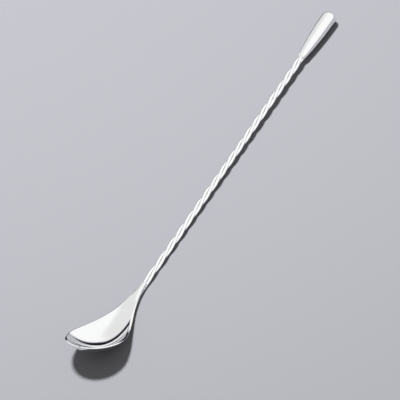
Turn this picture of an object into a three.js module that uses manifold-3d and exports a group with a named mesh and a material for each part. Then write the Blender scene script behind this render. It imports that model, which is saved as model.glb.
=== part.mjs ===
// Bar spoon: a pressed bowl and a turned teardrop bulb brazed to a shaft of three twisted rods.
// Millimetres, +Z up. The spoon lies on z = 0, bowl open upwards, with +Y along the shaft to the bulb.
// The origin is the middle of its footprint. Every piece is built in the shaft's frame, in which the
// shaft's axis is the Y axis and y = 0 is the neck, and the finished spoon is then laid down.
import * as THREE from 'three';
import { mergeVertices } from 'three/addons/utils/BufferGeometryUtils.js';
import Module from 'manifold-3d';

// Driving dimensions: shaft
const ROD_DIAMETER = 1.46;
const LAY_RADIUS = 0.9; // from the shaft's axis to a rod's axis
const ROD_COUNT = 3;
const LAY_LEAD = 25.6; // axial length of one full turn, away from the neck
const LAY_START = 9.8; // the rods run straight below this y
const LAY_FAST_SHARE = 0.64; // share of the lay that is taken up at once
const LAY_FAST_LENGTH = 1.25;
const LAY_SLOW_LENGTH = 32; // the rest of the lay tightens over this length
const ROD_SIDES = 12;
const ROD_STEPS = 112;

// Driving dimensions: bulb
const BULB_TAIL_Y = 176.4;
const BULB_LENGTH = 31;
const BULB_RADIUS = 3.7;
const BULB_TAIL_RADIUS = 2;
const BULB_FULLNESS = 0.5; // where along the taper its curve is steered
const SOCKET_RADIUS = 1.74;
const SOCKET_DEPTH = 6;
const BULB_SEGMENTS = 36;

// Driving dimensions: bowl and its tongue
const BOWL_REACH = 52.6; // neck to tip
const TONGUE_LENGTH = 9; // neck to the tongue's end, along the shaft
const BOWL_HALF_WIDTH = 13.4;
const TIP_ARC_LENGTH = 13.8; // tip to the widest point
const TONGUE_HALF_WIDTH = 1.15;
const FLANK_STEER = new THREE.Vector2(26.5, BOWL_HALF_WIDTH); // distance from tip, half width
const NECK_STEER = new THREE.Vector2(42, 1.5);
const EDGE_HEIGHT = 1.15; // of the tongue's edge over the shaft's axis
const EDGE_SWING = 0.7; // how far the edge sags half way to the tip, and swells beyond
const TIP_RISE = 13.5; // of the lip at the tip over the tongue's edge
const BOWL_DEPTH = 5.5;
const HOLLOW_START_HALF_WIDTH = 1.5; // the hollow runs out where the outline is this narrow
const HOLLOW_EASE = 2;
const SECTION_POWER = 2.2; // 2 is a parabola, more is a flatter floor
const BELLY_WALL = 1.8;
const TONGUE_WALL = 1.2;
const WALL_FADE_START = 30; // distance from the tip
const WALL_FADE_END = 49;
const LIP_EDGE = 0.35; // height of the lip's outer edge
const LIP_WIDTH = 1.1;
const TONGUE_LIP_WIDTH = 0.25;
const TONGUE_CROWN = 0.35;
const TIP_ROWS = 14;
const FLANK_ROWS = 30;
const FLOOR_COLUMNS = 16;

// Driving dimensions: joints
const JOINT_GAP = 0.3;
const LAP_HEIGHT = -0.2; // the lower rods are ground flat here, under the tongue
const LAP_REACH = 3.2; // they end this far past the neck
const BRAZE_GAP = 0.08;
const BRAZE_REACH = 3.4;
const BRAZE_HALF_WIDTH = 1.3;
const BRAZE_DROP = 0.95;
const BULB_FILLET_LENGTH = 1;
const BULB_FILLET_TIP_RADIUS = 1.78;
const BULB_FILLET_BORE = 1.7;

const STEEL = { color: 0xdfe1e3, roughness: 0.12, metalness: 1 };
const BRAZE = { color: 0xd2cfc6, roughness: 0.3, metalness: 1 };

const wasm = await Module();
wasm.setup();

// Shared vertices merged, and the triangles that collapsed at a point left out.
function weld(geometry) {
  const bare = new THREE.BufferGeometry();
  bare.setAttribute('position', geometry.getAttribute('position').clone());
  if (geometry.index) {
    bare.setIndex(geometry.index.clone());
  }
  const merged = mergeVertices(bare, 1e-4);
  const kept = [];
  const corners = merged.index.array;
  for (let i = 0; i < corners.length; i += 3) {
    const [a, b, c] = [corners[i], corners[i + 1], corners[i + 2]];
    if (a !== b && b !== c && c !== a) {
      kept.push(a, b, c);
    }
  }
  merged.setIndex(kept);
  return merged;
}

function toSolid(geometry) {
  const merged = weld(geometry);
  const vertProperties = Float32Array.from(merged.getAttribute('position').array);
  const triVerts = Uint32Array.from(merged.index.array);
  return new wasm.Manifold(new wasm.Mesh({ numProp: 3, vertProperties, triVerts }));
}

function toGeometry(solid) {
  const mesh = solid.getMesh();
  const geometry = new THREE.BufferGeometry();
  geometry.setAttribute('position', new THREE.BufferAttribute(mesh.vertProperties, 3));
  geometry.setIndex(new THREE.BufferAttribute(mesh.triVerts, 1));
  return geometry;
}

function named(name, geometry, look) {
  geometry.computeVertexNormals();
  const mesh = new THREE.Mesh(geometry, new THREE.MeshStandardMaterial(look));
  mesh.name = name;
  return mesh;
}

// A closed solid between two grids of points with equal rows and columns, top over bottom.
// Rows follow +Y and columns follow +X.
function solidBetween(top, bottom) {
  const rows = top.length;
  const columns = top[0].length;
  const positions = [];
  for (const grid of [top, bottom]) {
    for (const row of grid) {
      for (const point of row) {
        positions.push(point.x, point.y, point.z);
      }
    }
  }
  const at = (grid, row, column) => (grid * rows + row) * columns + column;
  const corners = [];
  const quad = (a, b, c, d) => corners.push(a, b, c, a, c, d);
  for (let r = 0; r < rows - 1; r += 1) {
    for (let c = 0; c < columns - 1; c += 1) {
      quad(at(0, r, c), at(0, r, c + 1), at(0, r + 1, c + 1), at(0, r + 1, c));
      quad(at(1, r, c), at(1, r + 1, c), at(1, r + 1, c + 1), at(1, r, c + 1));
    }
    const last = columns - 1;
    quad(at(0, r, 0), at(0, r + 1, 0), at(1, r + 1, 0), at(1, r, 0));
    quad(at(0, r, last), at(1, r, last), at(1, r + 1, last), at(0, r + 1, last));
  }
  for (let c = 0; c < columns - 1; c += 1) {
    quad(at(0, 0, c), at(1, 0, c), at(1, 0, c + 1), at(0, 0, c + 1));
    const end = rows - 1;
    quad(at(0, end, c), at(0, end, c + 1), at(1, end, c + 1), at(1, end, c));
  }
  const geometry = new THREE.BufferGeometry();
  geometry.setAttribute('position', new THREE.Float32BufferAttribute(positions, 3));
  geometry.setIndex(corners);
  return weld(geometry);
}

// Bowl. A row of the bowl crosses it at a distance from the tip. Round the tip the outline is a quarter
// ellipse each side, and from the widest point to the tongue's end it is one Bezier curve.
const flank = new THREE.CubicBezierCurve(
  new THREE.Vector2(TIP_ARC_LENGTH, BOWL_HALF_WIDTH),
  FLANK_STEER,
  NECK_STEER,
  new THREE.Vector2(BOWL_REACH + TONGUE_LENGTH, TONGUE_HALF_WIDTH),
);

function tipRow(turn) {
  const angle = turn * Math.PI / 2;
  const innerArc = TIP_ARC_LENGTH - LIP_WIDTH;
  const innerHalf = BOWL_HALF_WIDTH - LIP_WIDTH;
  return {
    outer: { along: TIP_ARC_LENGTH * (1 - Math.cos(angle)), half: BOWL_HALF_WIDTH * Math.sin(angle) },
    inner: { along: TIP_ARC_LENGTH - innerArc * Math.cos(angle), half: innerHalf * Math.sin(angle) },
    hollow: 1 - Math.cos(angle) ** SECTION_POWER,
  };
}

// How far the bowl has taken over from the tongue: 0 on the tongue, 1 in the bowl.
function bowlShare(along) {
  return 1 - THREE.MathUtils.smoothstep(along, BOWL_REACH * 0.76, BOWL_REACH);
}

function flankRow(turn) {
  const point = flank.getPoint(turn);
  const lip = THREE.MathUtils.lerp(TONGUE_LIP_WIDTH, LIP_WIDTH, bowlShare(point.x));
  const spread = THREE.MathUtils.inverseLerp(HOLLOW_START_HALF_WIDTH, BOWL_HALF_WIDTH, point.y);
  return {
    outer: { along: point.x, half: point.y },
    inner: { along: point.x, half: point.y - lip },
    hollow: Math.max(spread, 0) ** HOLLOW_EASE,
  };
}

function edgeHeight(along) {
  const part = Math.max(BOWL_REACH - along, 0) / BOWL_REACH;
  const swing = EDGE_SWING * Math.sin(2 * Math.PI * part ** 1.5);
  return EDGE_HEIGHT - swing + TIP_RISE * part * part;
}

function wall(along) {
  const faded = THREE.MathUtils.smoothstep(along, WALL_FADE_START, WALL_FADE_END);
  return THREE.MathUtils.lerp(BELLY_WALL, TONGUE_WALL, faded);
}

function lipEdge(along) {
  return THREE.MathUtils.lerp(TONGUE_WALL, LIP_EDGE, bowlShare(along));
}

// How far down the section is at a share of the half width: 1 on the centre line, 0 at the lip.
function fall(across) {
  return 1 - Math.abs(across) ** SECTION_POWER;
}

// Columns are closer together towards the lip.
function columnPlace(column) {
  return Math.sin((column / FLOOR_COLUMNS - 0.5) * Math.PI);
}

function topPoints(row) {
  const { outer, inner, hollow } = row;
  const outerY = outer.along - BOWL_REACH;
  const innerY = inner.along - BOWL_REACH;
  const crown = TONGUE_CROWN * (1 - bowlShare(inner.along));
  const points = [new THREE.Vector3(-outer.half, outerY, edgeHeight(outer.along))];
  for (let c = 0; c <= FLOOR_COLUMNS; c += 1) {
    const across = columnPlace(c);
    const sunk = (BOWL_DEPTH * hollow - crown) * fall(across);
    points.push(new THREE.Vector3(inner.half * across, innerY, edgeHeight(inner.along) - sunk));
  }
  points.push(new THREE.Vector3(outer.half, outerY, edgeHeight(outer.along)));
  return points;
}

function undersideHeight(row, across) {
  const { along } = row.outer;
  const sunk = BOWL_DEPTH * row.hollow + wall(along) - lipEdge(along);
  return edgeHeight(along) - lipEdge(along) - sunk * fall(across);
}

function undersidePoints(row) {
  const points = [];
  const columns = FLOOR_COLUMNS + 2;
  for (let c = 0; c <= columns; c += 1) {
    const across = Math.sin((c / columns - 0.5) * Math.PI);
    const y = row.outer.along - BOWL_REACH;
    points.push(new THREE.Vector3(row.outer.half * across, y, undersideHeight(row, across)));
  }
  return points;
}

function bowlGeometry() {
  const rows = [];
  for (let r = 0; r < TIP_ROWS; r += 1) {
    rows.push(tipRow(r / TIP_ROWS));
  }
  for (let r = 0; r <= FLANK_ROWS; r += 1) {
    rows.push(flankRow(r / FLANK_ROWS));
  }
  return solidBetween(rows.map(topPoints), rows.map(undersidePoints));
}

// Shaft. The angle that a rod has turned about the axis at y: left-handed, straight by the neck, then
// tightening to the full lay.
function layAngle(y) {
  const run = Math.max(y - LAY_START, 0);
  const fastLag = LAY_FAST_SHARE * LAY_FAST_LENGTH * (1 - Math.exp(-run / LAY_FAST_LENGTH));
  const slowLag = (1 - LAY_FAST_SHARE) * LAY_SLOW_LENGTH * (1 - Math.exp(-run / LAY_SLOW_LENGTH));
  return 2 * Math.PI * (run - fastLag - slowLag) / LAY_LEAD;
}

class RodAxis extends THREE.Curve {
  constructor(neckAngle, startY, endY) {
    super();
    this.neckAngle = neckAngle;
    this.startY = startY;
    this.endY = endY;
  }

  getPoint(t, target = new THREE.Vector3()) {
    const y = THREE.MathUtils.lerp(this.startY, this.endY, t);
    const angle = this.neckAngle + layAngle(y);
    return target.set(LAY_RADIUS * Math.cos(angle), y, LAY_RADIUS * Math.sin(angle));
  }
}

function rodSection() {
  const section = new THREE.Shape();
  for (let side = 0; side < ROD_SIDES; side += 1) {
    const angle = 2 * Math.PI * side / ROD_SIDES;
    const x = ROD_DIAMETER / 2 * Math.cos(angle);
    const y = ROD_DIAMETER / 2 * Math.sin(angle);
    if (side === 0) {
      section.moveTo(x, y);
    } else {
      section.lineTo(x, y);
    }
  }
  section.closePath();
  return section;
}

// The rod that lies on top at the neck stops short of the tongue. The lower two run on beneath it.
function rodGeometry(index) {
  const neckAngle = Math.PI / 2 + 2 * Math.PI * index / ROD_COUNT;
  const onTop = index === 0;
  const startY = onTop ? TONGUE_LENGTH + JOINT_GAP : -LAP_REACH;
  const endY = BULB_TAIL_Y + SOCKET_DEPTH - JOINT_GAP;
  const extrudePath = new RodAxis(neckAngle, startY, endY);
  const rod = new THREE.ExtrudeGeometry(rodSection(), { steps: ROD_STEPS, extrudePath });
  if (onTop) {
    return weld(rod);
  }
  const ground = new THREE.BoxGeometry(4 * LAY_RADIUS, 2 * LAP_REACH + TONGUE_LENGTH, 4 * LAY_RADIUS);
  ground.translate(0, TONGUE_LENGTH / 2 - LAP_REACH / 2 + JOINT_GAP, LAP_HEIGHT + 2 * LAY_RADIUS);
  return toGeometry(toSolid(rod).subtract(toSolid(ground)));
}

// Bulb: a solid teardrop with a blind socket that takes the three rods.
function bulbGeometry() {
  const shoulderY = BULB_TAIL_Y + BULB_LENGTH - BULB_RADIUS;
  const taperLength = shoulderY - BULB_TAIL_Y;
  const taper = new THREE.QuadraticBezierCurve(
    new THREE.Vector2(BULB_TAIL_RADIUS, BULB_TAIL_Y),
    new THREE.Vector2(BULB_RADIUS, BULB_TAIL_Y + BULB_FULLNESS * taperLength),
    new THREE.Vector2(BULB_RADIUS, shoulderY),
  );
  const profile = [
    new THREE.Vector2(0, BULB_TAIL_Y + SOCKET_DEPTH),
    new THREE.Vector2(SOCKET_RADIUS, BULB_TAIL_Y + SOCKET_DEPTH),
    new THREE.Vector2(SOCKET_RADIUS, BULB_TAIL_Y),
    ...taper.getPoints(12),
  ];
  const domePoints = 9;
  for (let p = 1; p < domePoints; p += 1) {
    const angle = p / domePoints * Math.PI / 2;
    profile.push(new THREE.Vector2(BULB_RADIUS * Math.cos(angle), shoulderY + BULB_RADIUS * Math.sin(angle)));
  }
  profile.push(new THREE.Vector2(0, shoulderY + BULB_RADIUS));
  return weld(new THREE.LatheGeometry(profile, BULB_SEGMENTS));
}

// The fillet of filler round the rods at the socket's mouth.
function bulbBrazeGeometry() {
  const mouthY = BULB_TAIL_Y - BRAZE_GAP;
  const profile = [
    new THREE.Vector2(BULB_FILLET_BORE, mouthY - BULB_FILLET_LENGTH),
    new THREE.Vector2(BULB_FILLET_TIP_RADIUS, mouthY - BULB_FILLET_LENGTH),
    new THREE.Vector2(BULB_TAIL_RADIUS, mouthY),
    new THREE.Vector2(BULB_FILLET_BORE, mouthY),
    new THREE.Vector2(BULB_FILLET_BORE, mouthY - BULB_FILLET_LENGTH),
  ];
  return weld(new THREE.LatheGeometry(profile, BULB_SEGMENTS));
}

// The wedge of filler between the lower rods' ends and the underside of the bowl's shoulder.
function neckBrazeGeometry() {
  const rows = 8;
  const columns = 6;
  const nearEnd = -LAP_REACH - BRAZE_GAP;
  const top = [];
  const bottom = [];
  for (let r = 0; r <= rows; r += 1) {
    const share = r / rows;
    const y = nearEnd - BRAZE_REACH * (1 - share);
    const row = rowAt(y + BOWL_REACH);
    const drop = 0.1 + BRAZE_DROP * share ** 1.5;
    const topRow = [];
    const bottomRow = [];
    for (let c = 0; c <= columns; c += 1) {
      const x = BRAZE_HALF_WIDTH * (2 * c / columns - 1);
      const z = undersideHeight(row, x / row.outer.half) - BRAZE_GAP;
      const round = 1 - 0.6 * (x / BRAZE_HALF_WIDTH) ** 2;
      topRow.push(new THREE.Vector3(x, y, z));
      bottomRow.push(new THREE.Vector3(x, y, z - drop * round));
    }
    top.push(topRow);
    bottom.push(bottomRow);
  }
  return solidBetween(top, bottom);
}

// The bowl's row on the flank at a distance from the tip.
function rowAt(along) {
  let low = 0;
  let high = 1;
  for (let halving = 0; halving < 30; halving += 1) {
    const middle = (low + high) / 2;
    if (flank.getPoint(middle).x < along) {
      low = middle;
    } else {
      high = middle;
    }
  }
  return flankRow(low);
}

function lowestPoint(meshes, tilt) {
  const lowest = new THREE.Vector3(0, 0, Infinity);
  const point = new THREE.Vector3();
  for (const mesh of meshes) {
    const position = mesh.geometry.getAttribute('position');
    for (let i = 0; i < position.count; i += 1) {
      point.fromBufferAttribute(position, i).applyAxisAngle(new THREE.Vector3(1, 0, 0), tilt);
      if (point.z < lowest.z) {
        lowest.copy(point);
      }
    }
  }
  return lowest;
}

// Lays the spoon down so that the bulb and the lowest place of the rest both touch z = 0.
function layDown(spoon, bulb) {
  const rest = spoon.children.filter((piece) => piece !== bulb);
  let tilt = 0;
  for (let round = 0; round < 8; round += 1) {
    const low = lowestPoint(rest, tilt);
    const end = lowestPoint([bulb], tilt);
    tilt += Math.atan2(low.z - end.z, end.y - low.y);
  }
  spoon.rotation.x = tilt;
  spoon.updateMatrixWorld(true);
  const box = new THREE.Box3().setFromObject(spoon, true);
  const middle = box.getCenter(new THREE.Vector3());
  spoon.position.set(-middle.x, -middle.y, -box.min.z);
}

const spoon = new THREE.Group();
const bulb = named('bulb', bulbGeometry(), STEEL);
spoon.add(named('bowl', bowlGeometry(), STEEL), bulb);
for (let index = 0; index < ROD_COUNT; index += 1) {
  spoon.add(named(`rod_${index + 1}`, rodGeometry(index), STEEL));
}
spoon.add(named('neck_braze', neckBrazeGeometry(), BRAZE));
spoon.add(named('bulb_braze', bulbBrazeGeometry(), BRAZE));
layDown(spoon, bulb);

const model = new THREE.Group();
model.add(spoon);
export default model;
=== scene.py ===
# Looks of the bar spoon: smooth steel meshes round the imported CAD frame, on a pale floor.
# The spoon's pieces are made in millimetres in the shaft's frame (shaft along +Y, neck at y = 0),
# laid down as the CAD spoon lies, and written in metres.
import math

import bmesh
import bpy
import numpy as np
from mathutils import Matrix, Vector


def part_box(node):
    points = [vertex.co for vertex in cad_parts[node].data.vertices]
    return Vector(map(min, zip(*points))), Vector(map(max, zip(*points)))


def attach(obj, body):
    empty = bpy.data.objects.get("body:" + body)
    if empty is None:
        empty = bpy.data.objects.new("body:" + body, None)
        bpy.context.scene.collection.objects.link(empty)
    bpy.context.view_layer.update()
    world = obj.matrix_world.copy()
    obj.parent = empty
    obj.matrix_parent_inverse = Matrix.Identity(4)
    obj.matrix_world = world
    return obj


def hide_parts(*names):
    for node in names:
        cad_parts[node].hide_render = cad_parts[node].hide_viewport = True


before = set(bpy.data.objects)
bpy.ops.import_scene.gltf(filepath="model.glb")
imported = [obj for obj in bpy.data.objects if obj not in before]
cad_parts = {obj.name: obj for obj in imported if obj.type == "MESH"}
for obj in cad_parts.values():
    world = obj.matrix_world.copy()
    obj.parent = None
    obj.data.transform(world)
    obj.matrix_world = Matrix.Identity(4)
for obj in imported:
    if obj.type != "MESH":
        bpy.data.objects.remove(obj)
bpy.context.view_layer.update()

MM = 0.001
BODY = "root"

# Shaft: the rods lie straight up to LAY_START, then tighten to one turn in LAY_LEAD, part of it soon
ROD_COUNT = 3
ROD_RADIUS = 0.73
LAY_RADIUS = 0.9
LAY_LEAD = 25.6
LAY_START = 9.8
LAY_FAST_SHARE = 0.64
LAY_FAST_LENGTH = 1.25
LAY_SLOW_LENGTH = 32
ROD_SIDES = 32
ROD_STEP = 0.7
STEP_BREAK = 0.001

# Bulb
BULB_TAIL_Y = 176.4
BULB_LENGTH = 31
BULB_RADIUS = 3.7
BULB_TAIL_RADIUS = 2
BULB_FULLNESS = 0.5
SOCKET_RADIUS = 1.74
SOCKET_DEPTH = 6
POLE_RADIUS = 0.02
BULB_SEGMENTS = 72
TAPER_POINTS = 60
DOME_POINTS = 30

# Braze at the bulb's mouth: it falls away over its length, and thins to a film on the rods' crests
FILLET_LENGTH = 2.1
FILLET_FALL = (0.2, 0.14)
FILLET_FILM = 0.015
FILLET_CLEAR = 0.02
FILLET_CORE = 0.45
FILLET_SEGMENTS = 96
FILLET_STEPS = 24

# Bowl and tongue, measured along the spoon from the tip
BOWL_REACH = 52.6
TONGUE_LENGTH = 9
BOWL_HALF_WIDTH = 13.4
TIP_ARC_LENGTH = 13.8
TONGUE_HALF_WIDTH = 1.15
FLANK_STEER = (26.5, BOWL_HALF_WIDTH)
NECK_STEER = (42, 1.5)
EDGE_HEIGHT = 1.15
EDGE_SWING = 0.7
TIP_RISE = 13.5
BOWL_DEPTH = 5.5
BOWL_SHARE_START = 0.76
HOLLOW_START_HALF_WIDTH = 1.5
HOLLOW_EASE = 2
SECTION_POWER = 2.2
BELLY_WALL = 1.8
TONGUE_WALL = 1.2
WALL_FADE_START = 30
WALL_FADE_END = 49
LIP_EDGE = 0.35
LIP_WIDTH = 1.1
TONGUE_LIP_SHARE = 0.23
LIP_DROP_SHARE_MIN = 0.3
TONGUE_CROWN = 0.35
LIP_ROLL = 0.85
LIP_ROLL_DROP = 0.34
LIP_BREAK = 0.07
TIP_ROWS = 56
FLANK_ROWS = 110
FLOOR_COLUMNS = 48
LAP_HEIGHT = -0.2
LAP_REACH = 3.2
JOINT_GAP = 0.3
SEAM = 0.03

# Meshes
MERGE_DISTANCE = 1e-7
DEGENERATE_EDGE = 1e-8
SMOOTH_ANGLE = 50
FILLET_SMOOTH_ANGLE = 60


def smoothstep(low, high, x):
    t = np.clip((np.asarray(x, float) - low) / (high - low), 0, 1)
    return t * t * (3 - 2 * t)


# ---- mesh helpers ----------------------------------------------------------------------------

def grid_faces(rows, columns, first=0, closed=False):
    faces = []
    span = columns if closed else columns - 1
    for r in range(rows - 1):
        for c in range(span):
            a = first + r * columns + c
            b = first + r * columns + (c + 1) % columns
            faces.append((a, b, b + columns, a + columns))
    return faces


def new_piece(name, points, faces, material, smooth_angle):
    mesh = bpy.data.meshes.new(name)
    mesh.from_pydata([tuple(p) for p in np.asarray(points) * MM], [], faces)
    piece = bpy.data.objects.new(name, mesh)
    bpy.context.scene.collection.objects.link(piece)
    clean(piece)
    mesh.materials.append(material)
    mesh.shade_smooth()
    mesh.set_sharp_from_angle(angle=math.radians(smooth_angle))
    return piece


def clean(piece):
    bm = bmesh.new()
    bm.from_mesh(piece.data)
    bmesh.ops.remove_doubles(bm, verts=bm.verts, dist=MERGE_DISTANCE)
    bmesh.ops.dissolve_degenerate(bm, edges=bm.edges, dist=DEGENERATE_EDGE)
    bmesh.ops.recalc_face_normals(bm, faces=bm.faces)
    bm.to_mesh(piece.data)
    bm.free()


# ---- bowl ------------------------------------------------------------------------------------

def flank_point(turn):
    ends = (TIP_ARC_LENGTH, BOWL_HALF_WIDTH), (BOWL_REACH + TONGUE_LENGTH, TONGUE_HALF_WIDTH)
    p = np.array([ends[0], FLANK_STEER, NECK_STEER, ends[1]], float)
    u = 1 - turn
    weights = np.array([u ** 3, 3 * u * u * turn, 3 * u * turn * turn, turn ** 3])
    return weights @ p


def bowl_share(along):
    return 1 - smoothstep(BOWL_REACH * BOWL_SHARE_START, BOWL_REACH, along)


def edge_height(along):
    part = np.maximum(BOWL_REACH - along, 0) / BOWL_REACH
    swing = EDGE_SWING * np.sin(2 * math.pi * part ** 1.5)
    return EDGE_HEIGHT - swing + TIP_RISE * part * part


def wall(along):
    fade = smoothstep(WALL_FADE_START, WALL_FADE_END, along)
    return BELLY_WALL + (TONGUE_WALL - BELLY_WALL) * fade


def lip_edge(along):
    share = bowl_share(along)
    return TONGUE_WALL * (1 - share) + LIP_EDGE * share


def fall(across):
    return 1 - abs(across) ** SECTION_POWER


class Row:
    """One crossing of the bowl: its outline at any inset from the outer edge, and how hollow it is."""

    def __init__(self, tip_turn=None, flank_turn=None):
        self.tip_turn = tip_turn
        if tip_turn is not None:
            self.angle = tip_turn * math.pi / 2
            self.hollow = 1 - math.cos(self.angle) ** SECTION_POWER
            self.lip_scale = 1.0
        else:
            self.along, self.half = flank_point(flank_turn)
            full_spread = BOWL_HALF_WIDTH - HOLLOW_START_HALF_WIDTH
            spread = (self.half - HOLLOW_START_HALF_WIDTH) / full_spread
            self.hollow = max(spread, 0) ** HOLLOW_EASE
            share = float(bowl_share(self.along))
            self.lip_scale = TONGUE_LIP_SHARE * (1 - share) + share

    def outline(self, inset):
        if self.tip_turn is None:
            return self.along, self.half - inset * self.lip_scale
        along = TIP_ARC_LENGTH - (TIP_ARC_LENGTH - inset) * math.cos(self.angle)
        return along, (BOWL_HALF_WIDTH - inset) * math.sin(self.angle)


def bowl_rows():
    rows = [Row(tip_turn=r / TIP_ROWS) for r in range(TIP_ROWS)]
    rows += [Row(flank_turn=r / FLANK_ROWS) for r in range(FLANK_ROWS + 1)]
    return rows


def lip_profile():
    """Insets and drops across the lip, from the outer side over its rolled crown to the floor's start."""
    side = [(0, LIP_ROLL_DROP), (0.03, LIP_ROLL_DROP * 0.9)]
    rolled = [(inset, LIP_ROLL_DROP * 0.88 * (1 - inset / LIP_ROLL) ** 1.5)
              for inset in np.linspace(0.08, LIP_ROLL, 9)]
    return side + rolled + [(LIP_WIDTH - 0.15, 0.02), (LIP_WIDTH, LIP_BREAK)]


def top_row(row):
    left = []
    drop_share = max(row.lip_scale, LIP_DROP_SHARE_MIN)
    for inset, drop in lip_profile():
        along, half = row.outline(inset)
        left.append((-half, along - BOWL_REACH, edge_height(along) - drop * drop_share))
    right = [(-x, y, z) for x, y, z in reversed(left)]
    along, half = row.outline(LIP_WIDTH)
    crown = TONGUE_CROWN * (1 - float(bowl_share(along)))
    floor = []
    for c in range(1, FLOOR_COLUMNS):
        across = math.sin((c / FLOOR_COLUMNS - 0.5) * math.pi)
        sunk = LIP_BREAK * drop_share + (BOWL_DEPTH * row.hollow - crown) * fall(across)
        floor.append((half * across, along - BOWL_REACH, edge_height(along) - sunk))
    return left + floor + right


def under_row(row, columns):
    along, half = row.outline(0)
    sunk = BOWL_DEPTH * row.hollow + wall(along) - lip_edge(along)
    points = []
    for c in range(columns + 1):
        across = math.sin((c / columns - 0.5) * math.pi)
        z = edge_height(along) - lip_edge(along) - sunk * fall(across)
        points.append((half * across, along - BOWL_REACH, z))
    return points


def bowl_points():
    rows = bowl_rows()
    top = [top_row(row) for row in rows]
    columns = len(top[0])
    under = [under_row(row, columns - 1) for row in rows]
    return np.array(top), np.array(under)


def solid_between(top, under):
    rows, columns = top.shape[:2]
    points = np.concatenate([top.reshape(-1, 3), under.reshape(-1, 3)])
    base = rows * columns
    faces = grid_faces(rows, columns) + grid_faces(rows, columns, first=base)
    for c in (0, columns - 1):
        for r in range(rows - 1):
            a = r * columns + c
            faces.append((a, a + columns, a + columns + base, a + base))
    for r in (0, rows - 1):
        for c in range(columns - 1):
            a = r * columns + c
            faces.append((a, a + 1, a + 1 + base, a + base))
    return points, faces


# ---- shaft -----------------------------------------------------------------------------------

def lay_angle(y):
    run = np.maximum(y - LAY_START, 0)
    fast = LAY_FAST_SHARE * LAY_FAST_LENGTH * (1 - np.exp(-run / LAY_FAST_LENGTH))
    slow = (1 - LAY_FAST_SHARE) * LAY_SLOW_LENGTH * (1 - np.exp(-run / LAY_SLOW_LENGTH))
    return 2 * math.pi * (run - fast - slow) / LAY_LEAD


def rod_centre(index, y):
    angle = math.pi / 2 + 2 * math.pi * index / ROD_COUNT + lay_angle(y)
    return np.stack([LAY_RADIUS * np.cos(angle), y, LAY_RADIUS * np.sin(angle)], -1)


def rod_points(index):
    on_top = index == 0
    start = TONGUE_LENGTH + SEAM if on_top else -LAP_REACH
    end = BULB_TAIL_Y + SOCKET_DEPTH - JOINT_GAP
    stations = list(np.arange(start, end, ROD_STEP)) + [end]
    if not on_top:
        step = TONGUE_LENGTH + JOINT_GAP
        stations = sorted(stations + [step - STEP_BREAK, step + STEP_BREAK])
    y = np.array(stations)
    centre = rod_centre(index, y)
    ahead = rod_centre(index, y + 0.01) - rod_centre(index, y - 0.01)
    ahead /= np.linalg.norm(ahead, axis=1)[:, None]
    side = np.cross(ahead, [0, 0, 1])
    side /= np.linalg.norm(side, axis=1)[:, None]
    lift = np.cross(side, ahead)
    turn = np.arange(ROD_SIDES) * 2 * math.pi / ROD_SIDES
    ring = centre[:, None] + ROD_RADIUS * (
        np.cos(turn)[None, :, None] * side[:, None] + np.sin(turn)[None, :, None] * lift[:, None])
    if not on_top:
        under_tongue = y < TONGUE_LENGTH + JOINT_GAP
        ring[under_tongue, :, 2] = np.minimum(ring[under_tongue, :, 2], LAP_HEIGHT)
    return ring


def tube_faces(rings, sides):
    faces = grid_faces(rings, sides, closed=True)
    faces.append(tuple(range(sides - 1, -1, -1)))
    faces.append(tuple((rings - 1) * sides + s for s in range(sides)))
    return faces


# ---- bulb ------------------------------------------------------------------------------------

def bulb_profile():
    shoulder = BULB_TAIL_Y + BULB_LENGTH - BULB_RADIUS
    length = shoulder - BULB_TAIL_Y
    t = np.linspace(0, 1, TAPER_POINTS)[:, None]
    ends = np.array([[BULB_TAIL_RADIUS, BULB_TAIL_Y],
                     [BULB_RADIUS, BULB_TAIL_Y + BULB_FULLNESS * length],
                     [BULB_RADIUS, shoulder]])
    taper = (1 - t) ** 2 * ends[0] + 2 * t * (1 - t) * ends[1] + t * t * ends[2]
    socket = [(POLE_RADIUS, BULB_TAIL_Y + SOCKET_DEPTH),
              (SOCKET_RADIUS, BULB_TAIL_Y + SOCKET_DEPTH),
              (SOCKET_RADIUS, BULB_TAIL_Y)]
    turn = np.linspace(0, math.pi / 2, DOME_POINTS)[1:-1]
    dome = np.stack([BULB_RADIUS * np.cos(turn), shoulder + BULB_RADIUS * np.sin(turn)], -1)
    tip = [(POLE_RADIUS, shoulder + BULB_RADIUS)]
    return np.concatenate([socket, taper, dome, tip])


def lathe(profile):
    turn = np.arange(BULB_SEGMENTS) * 2 * math.pi / BULB_SEGMENTS
    radius = profile[:, 0][:, None]
    along = np.repeat(profile[:, 1][:, None], BULB_SEGMENTS, 1)
    return np.stack([radius * np.cos(turn), along, radius * np.sin(turn)], -1)


def rod_reach(y, turn):
    """How far the rods reach from the shaft's axis in the direction of turn, at least to the core."""
    reach = np.full(np.shape(turn), FILLET_CORE)
    for index in range(ROD_COUNT):
        rod_angle = math.pi / 2 + 2 * math.pi * index / ROD_COUNT + lay_angle(y)
        aside = LAY_RADIUS * np.sin(turn - rod_angle)
        ahead = LAY_RADIUS * np.cos(turn - rod_angle)
        chord = np.sqrt(np.maximum(ROD_RADIUS ** 2 - aside ** 2, 0))
        crossed = (abs(aside) < ROD_RADIUS) & (ahead > 0)
        reach = np.where(crossed, np.maximum(reach, ahead + chord), reach)
    return reach


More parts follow.
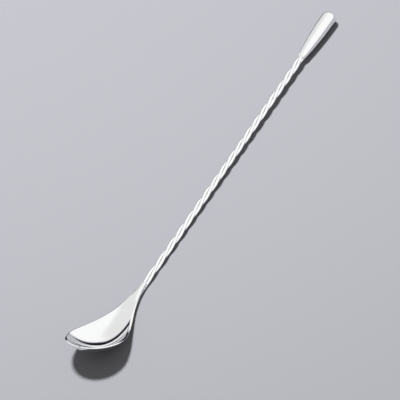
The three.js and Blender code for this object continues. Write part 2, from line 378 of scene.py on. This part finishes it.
def fillet_rings():
    """Rings of the braze at the bulb's mouth: up its outside, then back along the rods."""
    turn = np.arange(FILLET_SEGMENTS) * 2 * math.pi / FILLET_SEGMENTS
    mouth = BULB_TAIL_Y - SEAM
    outside, inside = [], []
    for back in np.linspace(FILLET_LENGTH, 0, FILLET_STEPS):
        y = mouth - back
        inner = rod_reach(y, turn) + FILLET_CLEAR
        radius = BULB_TAIL_RADIUS - FILLET_FALL[0] * back - FILLET_FALL[1] * back * back
        outer = np.maximum(radius, inner + FILLET_FILM)
        along = np.full(FILLET_SEGMENTS, y)
        for rings, reach in ((outside, outer), (inside, inner)):
            rings.append(np.stack([reach * np.cos(turn), along, reach * np.sin(turn)], -1))
    return np.array(outside + inside[::-1] + outside[:1])


# ---- laying down -----------------------------------------------------------------------------

LAY_DOWN_ROUNDS = 8


def tilted(points, tilt):
    c, s = math.cos(tilt), math.sin(tilt)
    x, y, z = points.reshape(-1, 3).T
    return np.stack([x, c * y - s * z, s * y + c * z], -1)


def lowest(points):
    return points[points[:, 2].argmin()]


def lay_down(rest, bulb):
    """The tilt at which the bulb and the rest both touch the floor, and the shift that puts them there."""
    tilt = 0.0
    for _ in range(LAY_DOWN_ROUNDS):
        low = lowest(tilted(rest, tilt))
        end = lowest(tilted(bulb, tilt))
        tilt += math.atan2(low[2] - end[2], end[1] - low[1])
    box_low, box_high = (np.array(corner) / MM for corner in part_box("bulb"))
    tilted_bulb = tilted(bulb, tilt)
    ahead = box_high[1] - tilted_bulb[:, 1].max()
    up = box_low[2] - tilted_bulb[:, 2].min()
    return tilt, np.array([0, ahead, up])


# ---- materials -------------------------------------------------------------------------------

# Polishing lines: a fine noise stretched along the piece. Cloud: slow changes of gloss and tone.
LINES_SCALE = 900
LINES_DETAIL = 6
LINES_ROUGHNESS = 0.65
LINES_DEPTH = 0.00002
CLOUD_SCALE = 120
CLOUD_DETAIL = 4
CLOUD_LOW = 0.3
CLOUD_HIGH = 0.7
GLOSS_SPREAD = (0.75, 1.35)
TONE_SPREAD = (0.985, 1.012)
FLOOR_COLOUR = (0.132, 0.133, 0.144, 1)
FLOOR_ROUGHNESS = 0.85


def steel(name, colour, roughness, hairline, stretch_scale):
    """Bright steel with polishing lines that bump it by hairline, and gloss and tone that drift."""
    material = bpy.data.materials.new(name)
    material.use_nodes = True
    nodes = material.node_tree.nodes
    links = material.node_tree.links
    shader = nodes["Principled BSDF"]
    shader.inputs["Metallic"].default_value = 1.0
    where = nodes.new("ShaderNodeTexCoord")
    stretch = nodes.new("ShaderNodeMapping")
    stretch.inputs["Scale"].default_value = stretch_scale
    links.new(where.outputs["Object"], stretch.inputs["Vector"])
    lines = nodes.new("ShaderNodeTexNoise")
    lines.inputs["Scale"].default_value = LINES_SCALE
    lines.inputs["Detail"].default_value = LINES_DETAIL
    lines.inputs["Roughness"].default_value = LINES_ROUGHNESS
    links.new(stretch.outputs["Vector"], lines.inputs["Vector"])
    bump = nodes.new("ShaderNodeBump")
    bump.inputs["Strength"].default_value = hairline
    bump.inputs["Distance"].default_value = LINES_DEPTH
    links.new(lines.outputs["Fac"], bump.inputs["Height"])
    links.new(bump.outputs["Normal"], shader.inputs["Normal"])
    cloud = nodes.new("ShaderNodeTexNoise")
    cloud.inputs["Scale"].default_value = CLOUD_SCALE
    cloud.inputs["Detail"].default_value = CLOUD_DETAIL
    links.new(where.outputs["Object"], cloud.inputs["Vector"])
    gloss = nodes.new("ShaderNodeMapRange")
    gloss.inputs["From Min"].default_value = CLOUD_LOW
    gloss.inputs["From Max"].default_value = CLOUD_HIGH
    gloss.inputs["To Min"].default_value = roughness * GLOSS_SPREAD[0]
    gloss.inputs["To Max"].default_value = roughness * GLOSS_SPREAD[1]
    links.new(cloud.outputs["Fac"], gloss.inputs["Value"])
    links.new(gloss.outputs["Result"], shader.inputs["Roughness"])
    tone = nodes.new("ShaderNodeMapRange")
    tone.data_type = "FLOAT_VECTOR"
    value, from_min, from_max, to_min, to_max = tone.inputs[6:11]
    from_min.default_value = (CLOUD_LOW,) * 3
    from_max.default_value = (CLOUD_HIGH,) * 3
    to_min.default_value = [TONE_SPREAD[0] * v for v in colour]
    to_max.default_value = [min(TONE_SPREAD[1] * v, 1) for v in colour]
    links.new(cloud.outputs["Fac"], value)
    links.new(tone.outputs["Vector"], shader.inputs["Base Color"])
    return material


def pale_floor():
    material = bpy.data.materials.new("floor_paper")
    material.use_nodes = True
    shader = material.node_tree.nodes["Principled BSDF"]
    shader.inputs["Roughness"].default_value = FLOOR_ROUGHNESS
    shader.inputs["Base Color"].default_value = FLOOR_COLOUR
    return material


# ---- build -----------------------------------------------------------------------------------

POLISHED = steel("polished_steel", (0.87, 0.873, 0.88), 0.06, 0.15, (1, 0.06, 1))
# The rods use the same steel as the bowl with a higher base colour. This is a painted brightening that
# stands in for the light on the shaft's strands.
ROD_STEEL_PAINTED_BRIGHT = steel("polished_rod", (0.96, 0.962, 0.968), 0.08, 0.2, (1, 0.05, 1))
BRAZE_METAL = steel("silver_braze", (0.85, 0.846, 0.835), 0.12, 0.3, (1, 1, 1))

top, under = bowl_points()
bulb_rings = lathe(bulb_profile())
rods = [rod_points(index) for index in range(ROD_COUNT)]
rest = np.concatenate([part.reshape(-1, 3) for part in (top, under, *rods)])
tilt, shift = lay_down(rest, bulb_rings.reshape(-1, 3))


def laid(points):
    return tilted(np.asarray(points, float), tilt) + shift


def add_piece(name, node, points, faces, material, smooth_angle=SMOOTH_ANGLE):
    piece = new_piece(name, laid(points), faces, material, smooth_angle)
    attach(piece, BODY)
    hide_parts(node)
    return piece


points, faces = solid_between(top, under)
add_piece("bowl_shell", "bowl", points, faces, POLISHED)
for index in range(ROD_COUNT):
    add_piece(f"rod_{index + 1}_round", f"rod_{index + 1}", rods[index],
              tube_faces(len(rods[index]), ROD_SIDES), ROD_STEEL_PAINTED_BRIGHT)
add_piece("bulb_turned", "bulb", bulb_rings,
          tube_faces(len(bulb_rings), BULB_SEGMENTS), POLISHED)
fillet = fillet_rings()
add_piece("bulb_fillet", "bulb_braze", fillet,
          grid_faces(len(fillet), FILLET_SEGMENTS, closed=True), BRAZE_METAL, FILLET_SMOOTH_ANGLE)
neck_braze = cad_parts["neck_braze"]
neck_braze.data.materials.clear()
neck_braze.data.materials.append(BRAZE_METAL)

# ---- floor, light and camera -----------------------------------------------------------------

FLOOR_REACH = 2.5
KEY_AZIMUTH = -122
KEY_ELEVATION = 73
KEY_DISTANCE = 1.3
KEY_SIZE = 0.2
KEY_POWER = 62


def add_floor():
    mesh = bpy.data.meshes.new("floor")
    signs = ((-1, -1), (1, -1), (1, 1), (-1, 1))
    mesh.from_pydata([(x * FLOOR_REACH, y * FLOOR_REACH, 0) for x, y in signs], [], [(0, 1, 2, 3)])
    floor = bpy.data.objects.new("floor", mesh)
    mesh.materials.append(pale_floor())
    bpy.context.scene.collection.objects.link(floor)


def direction(azimuth, elevation):
    a, e = math.radians(azimuth), math.radians(elevation)
    return Vector((math.sin(a) * math.cos(e), -math.cos(a) * math.cos(e), math.sin(e)))


def add_key():
    data = bpy.data.lights.new("key", "AREA")
    data.shape = "RECTANGLE"
    data.size = KEY_SIZE
    data.size_y = KEY_SIZE
    data.energy = KEY_POWER
    light = bpy.data.objects.new("key", data)
    light.location = direction(KEY_AZIMUTH, KEY_ELEVATION) * KEY_DISTANCE
    light.visible_glossy = False
    light.rotation_euler = light.location.to_track_quat("Z", "Y").to_euler()
    bpy.context.scene.collection.objects.link(light)


# The studio: a white tent with a dark gap under its edge, widest at one azimuth. Each stop is a height
# over the edge's curve, then the tent's colour there.
GAP_AZIMUTH = 211
GAP_NARROWING = 1.4
TENT_STOPS = (
    (0.00, (0.015, 0.015, 0.022)),
    (0.245, (0.015, 0.015, 0.022)),
    (0.295, (0.50, 0.51, 0.55)),
    (0.36, (1.00, 1.00, 1.02)),
    (0.55, (1.10, 1.09, 1.08)),
    (1.00, (1.10, 1.10, 1.10)),
)
# The ramp holds colours up to 1, so they are kept divided by the scale and the strength restores them.
TENT_SCALE = 1.25
TENT_FILL = 0.42
# A soft grey patch on the tent, mirrored in the bowl beside the neck.
SHADE_AZIMUTH = 236
SHADE_ELEVATION = 42
SHADE_START = 0.80
SHADE_END = 0.965
SHADE_TONE = 0.8
BACKDROP = (0.62, 0.625, 0.64, 1)


def add_world():
    world = bpy.data.worlds.new("studio")
    world.use_nodes = True
    bpy.context.scene.world = world
    nodes = world.node_tree.nodes
    links = world.node_tree.links
    where = nodes.new("ShaderNodeTexCoord")
    toward_gap = direction(GAP_AZIMUTH, 0)
    height = nodes.new("ShaderNodeVectorMath")
    height.operation = "DOT_PRODUCT"
    height.inputs[1].default_value = (-GAP_NARROWING * toward_gap.x, -GAP_NARROWING * toward_gap.y, 1)
    links.new(where.outputs["Generated"], height.inputs[0])
    raised = nodes.new("ShaderNodeMath")
    raised.operation = "ADD"
    raised.inputs[1].default_value = GAP_NARROWING
    links.new(height.outputs["Value"], raised.inputs[0])
    ramp = nodes.new("ShaderNodeValToRGB")
    ramp.color_ramp.interpolation = "EASE"
    stops = ramp.color_ramp.elements
    while len(stops) < len(TENT_STOPS):
        stops.new(0.5)
    for stop, (place, colour) in zip(stops, TENT_STOPS):
        stop.position = place
        stop.color = (*(v / TENT_SCALE for v in colour), 1)
    links.new(raised.outputs["Value"], ramp.inputs["Fac"])
    tent = nodes["Background"]
    toward_shade = nodes.new("ShaderNodeVectorMath")
    toward_shade.operation = "DOT_PRODUCT"
    toward_shade.inputs[1].default_value = direction(SHADE_AZIMUTH, SHADE_ELEVATION)
    links.new(where.outputs["Generated"], toward_shade.inputs[0])
    shade = nodes.new("ShaderNodeMapRange")
    shade.interpolation_type = "SMOOTHSTEP"
    shade.inputs["From Min"].default_value = SHADE_START
    shade.inputs["From Max"].default_value = SHADE_END
    shade.inputs["To Min"].default_value = 1
    shade.inputs["To Max"].default_value = SHADE_TONE
    links.new(toward_shade.outputs["Value"], shade.inputs["Value"])
    toned = nodes.new("ShaderNodeVectorMath")
    toned.operation = "SCALE"
    links.new(ramp.outputs["Color"], toned.inputs[0])
    links.new(shade.outputs["Result"], toned.inputs["Scale"])
    links.new(toned.outputs["Vector"], tent.inputs["Color"])
    ray = nodes.new("ShaderNodeLightPath")
    fill = nodes.new("ShaderNodeMapRange")
    fill.inputs["To Min"].default_value = TENT_SCALE
    fill.inputs["To Max"].default_value = TENT_SCALE * TENT_FILL
    links.new(ray.outputs["Is Diffuse Ray"], fill.inputs["Value"])
    links.new(fill.outputs["Result"], tent.inputs["Strength"])
    backdrop = nodes.new("ShaderNodeBackground")
    backdrop.inputs["Color"].default_value = BACKDROP
    mix = nodes.new("ShaderNodeMixShader")
    links.new(ray.outputs["Is Camera Ray"], mix.inputs["Fac"])
    links.new(tent.outputs["Background"], mix.inputs[1])
    links.new(backdrop.outputs["Background"], mix.inputs[2])
    links.new(mix.outputs["Shader"], nodes["World Output"].inputs["Surface"])


SENSOR_WIDTH = 36
VIEW_AZIMUTH = 33.924
VIEW_ELEVATION = 39.531
VIEW_ROLL = -11.446
VIEW_DISTANCE = 5.495
VIEW_LENS = 1065.8
VIEW_TARGET = (-3.021, -4.979, -0.415)


def add_camera():
    data = bpy.data.cameras.new("camera")
    data.sensor_width = SENSOR_WIDTH
    data.lens = VIEW_LENS
    camera = bpy.data.objects.new("camera", data)
    back = direction(VIEW_AZIMUTH, VIEW_ELEVATION)
    right = Vector((0, 0, 1)).cross(back).normalized()
    up = back.cross(right)
    roll = math.radians(VIEW_ROLL)
    across = math.cos(roll) * right + math.sin(roll) * up
    upward = math.cos(roll) * up - math.sin(roll) * right
    place = Vector(VIEW_TARGET) * MM + back * VIEW_DISTANCE
    turn = Matrix((across, upward, back)).transposed().to_4x4()
    camera.matrix_world = Matrix.Translation(place) @ turn
    bpy.context.scene.collection.objects.link(camera)
    bpy.context.scene.camera = camera


add_floor()
add_world()
add_key()
add_camera()
bpy.context.scene.view_settings.view_transform = "Standard"
